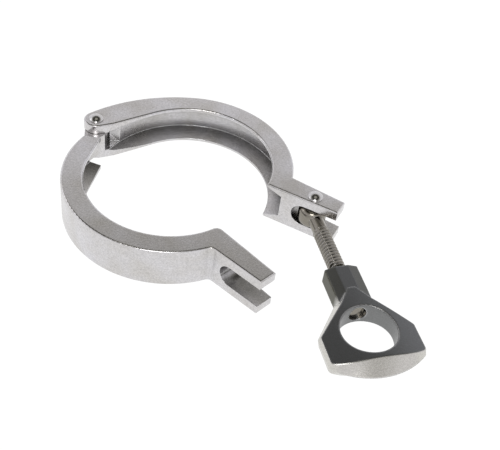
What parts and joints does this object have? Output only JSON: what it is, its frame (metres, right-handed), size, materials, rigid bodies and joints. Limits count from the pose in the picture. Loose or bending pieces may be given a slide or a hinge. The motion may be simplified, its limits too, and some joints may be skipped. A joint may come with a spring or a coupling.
{
  "type": "sanitary hinged clamp",
  "caption": "Hinged sanitary pipe clamp with an inner V-groove, swing bolt and wing nut, lying open, for joining ferrules on stainless tubing.",
  "frame": {"origin": "centre of the ring of the half that carries the swing bolt, at mid height", "axes": "+Z along the tube axis, +X towards the closing ears and the swing bolt, -X towards the hinge, +Y towards the half that carries the bolt"},
  "size_m": [0.1508, 0.0926, 0.0173],
  "materials": {
    "cast_steel": "satin, tumbled casting",
    "pin_steel": "bright rivet",
    "bolt_steel": "bright, threaded",
    "nut_steel": "polished casting"
  },
  "bodies": {
    "fixed_half": {"bolt_half": "cast_steel", "hinge_pin": "pin_steel", "bolt_pin": "pin_steel"},
    "swinging_half": {"slotted_half": "cast_steel"},
    "bolt": {"swing_bolt": "bolt_steel"},
    "nut": {"wing_nut": "nut_steel"}
  },
  "joints": [
    {"name": "half_hinge", "type": "hinge", "parent": "fixed_half", "child": "swinging_half", "pos_m": [-0.0414, 0, 0], "axis": [0, 0, 1], "range_deg": [-96, 21]},
    {"name": "bolt_swing", "type": "hinge", "parent": "fixed_half", "child": "bolt", "pos_m": [0.0471, 0.0065, 0], "axis": [0, 0, 1], "range_deg": [-24, 150]},
    {"name": "nut_travel", "type": "slide", "parent": "bolt", "child": "nut", "axis": [0.6691, -0.7431, 0], "range_m": [-0.0125, 0.01]}
  ]
}
